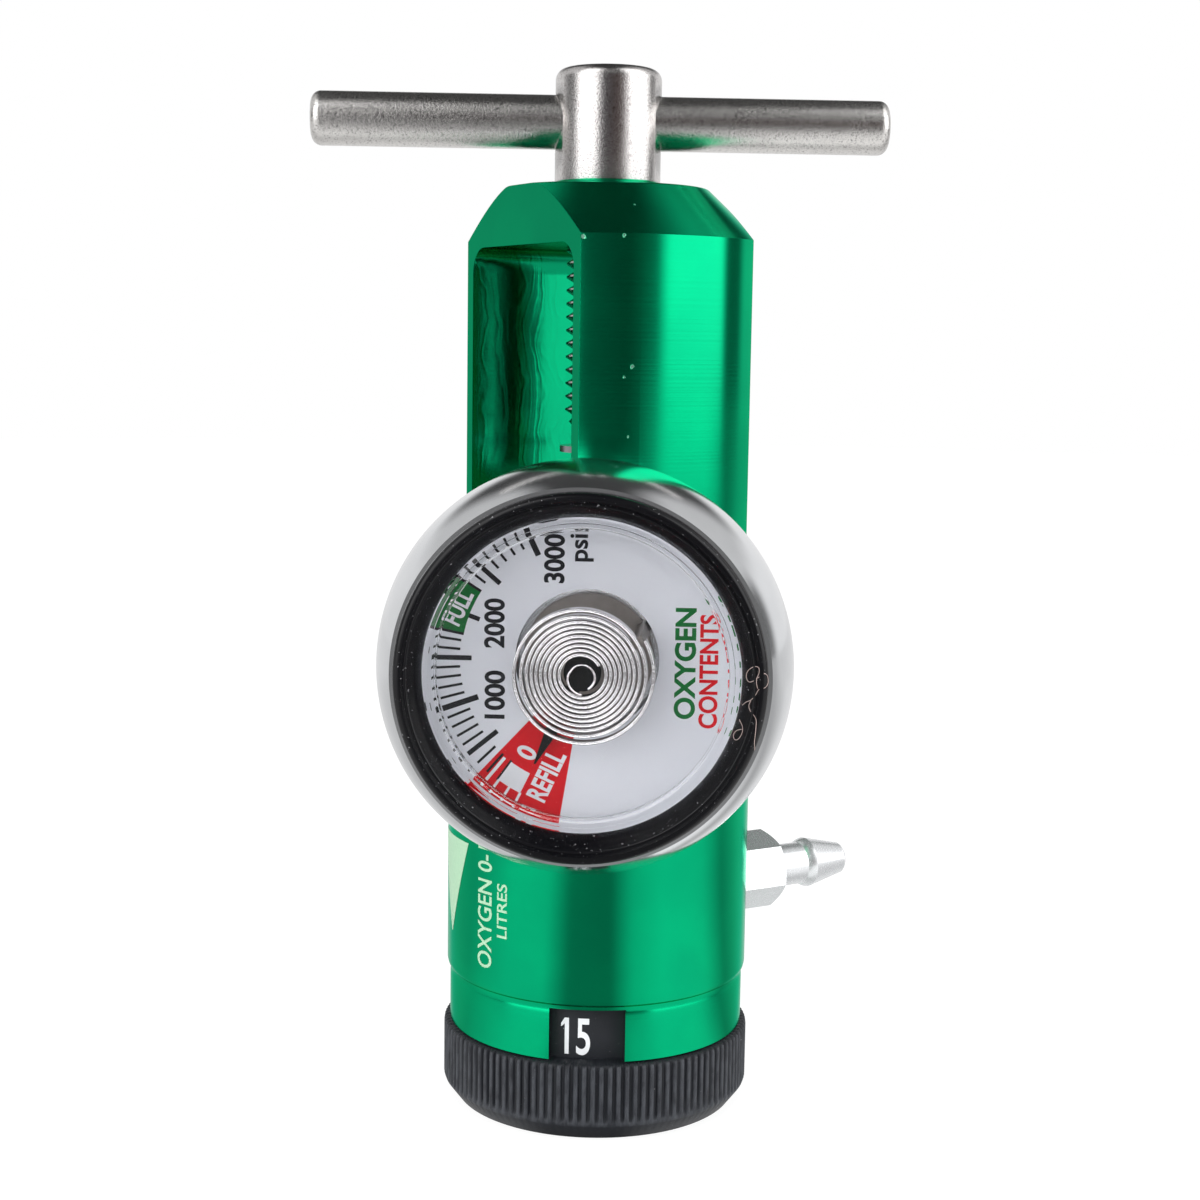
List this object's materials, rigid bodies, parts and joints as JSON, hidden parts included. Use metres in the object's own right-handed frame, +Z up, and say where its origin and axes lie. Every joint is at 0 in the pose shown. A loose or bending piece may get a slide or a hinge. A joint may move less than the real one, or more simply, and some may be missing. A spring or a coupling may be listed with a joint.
{
  "type": "oxygen regulator",
  "caption": "Pin index oxygen regulator: turned yoke body with a cross-bar screw, round contents gauge, ribbed flow selector knob and a hose barb outlet.",
  "frame": {"origin": "centre of the knob's underside, on the body's axis, where the regulator stands", "axes": "+Z up the body towards the yoke screw; +Y along the yoke's through axis, towards the hose barb; the gauge faces between +X and -Y"},
  "size_m": [0.0647, 0.0756, 0.1262],
  "materials": {
    "green_anodise": "green anodised turned and milled aluminium",
    "stainless": "satin stainless steel",
    "spring_steel": "plain spring steel",
    "chrome_plate": "bright chrome plate",
    "brass": "plain turned brass",
    "sintered_bronze": "sintered bronze, rough",
    "white_nylon": "white nylon",
    "black_seal": "black fluorinated rubber",
    "knob_black": "black moulded plastic with white numbers",
    "bezel_black": "black semi-gloss plastic",
    "clear_lens": "clear polycarbonate",
    "dial_face": "white printed dial",
    "pointer_black": "black painted needle"
  },
  "bodies": {
    "regulator": {"body": "green_anodise", "index_pins": "stainless", "inlet_nipple": "brass", "inlet_filter": "sintered_bronze", "inlet_washer": "white_nylon", "nozzle": "brass", "stem_oring": "black_seal", "piston_spring": "spring_steel", "selector_base": "brass", "base_orings": "black_seal", "base_clip": "spring_steel", "port_seal": "white_nylon", "shaft_oring": "black_seal", "detent_spring": "spring_steel", "gauge_stem": "brass", "gauge_case": "chrome_plate", "gauge_dial": "dial_face", "gauge_lens": "clear_lens", "gauge_bezel": "bezel_black", "bourdon_tube": "stainless", "outlet_barb": "chrome_plate", "barb_oring": "black_seal"},
    "piston": {"piston": "brass", "piston_oring": "black_seal", "piston_seat": "white_nylon"},
    "selector": {"knob": "knob_black", "knob_cap": "knob_black", "knob_screw": "stainless", "selector_shaft": "stainless", "orifice_plate": "brass"},
    "detent_ball": {"detent_ball": "stainless"},
    "pointer": {"gauge_pointer": "pointer_black"},
    "screw_clip": {"screw_clip": "spring_steel"},
    "screw": {"t_screw": "stainless", "t_bar": "stainless"}
  },
  "joints": [
    {"name": "screw_feed", "type": "slide", "parent": "regulator", "child": "screw_clip", "axis": [0, 0, 1], "range_m": [-0.00026, 0.0233]},
    {"name": "screw_turn", "type": "hinge", "parent": "screw_clip", "child": "screw", "pos_m": [0, 0, 0.1122], "axis": [0, 0, 1], "range_deg": [-60, 5280]},
    {"name": "selector_turn", "type": "hinge", "parent": "regulator", "child": "selector", "pos_m": [0, 0, 0], "axis": [0, 0, 1], "continuous": true},
    {"name": "detent_lift", "type": "slide", "parent": "regulator", "child": "detent_ball", "axis": [0, 0, 1], "range_m": [0, 0.0004], "stiffness_N_per_m": 20, "springref_m": -0.001, "deforming": ["detent_spring"]},
    {"name": "piston_slide", "type": "slide", "parent": "regulator", "child": "piston", "axis": [0, 0, 1], "range_m": [0, 0.0008], "stiffness_N_per_m": 2000, "springref_m": -0.001, "deforming": ["piston_spring"]},
    {"name": "pointer_swing", "type": "hinge", "parent": "regulator", "child": "pointer", "pos_m": [0, 0, 0.0593], "axis": [-0.848, 0.5299, 0], "range_deg": [0, 128.5], "stiffness_Nm_per_rad": 0.0001}
  ],
  "couplings": [
    {"joint": "screw_feed", "follows": "screw_turn", "m_per_rad": 0.00025266}
  ]
}
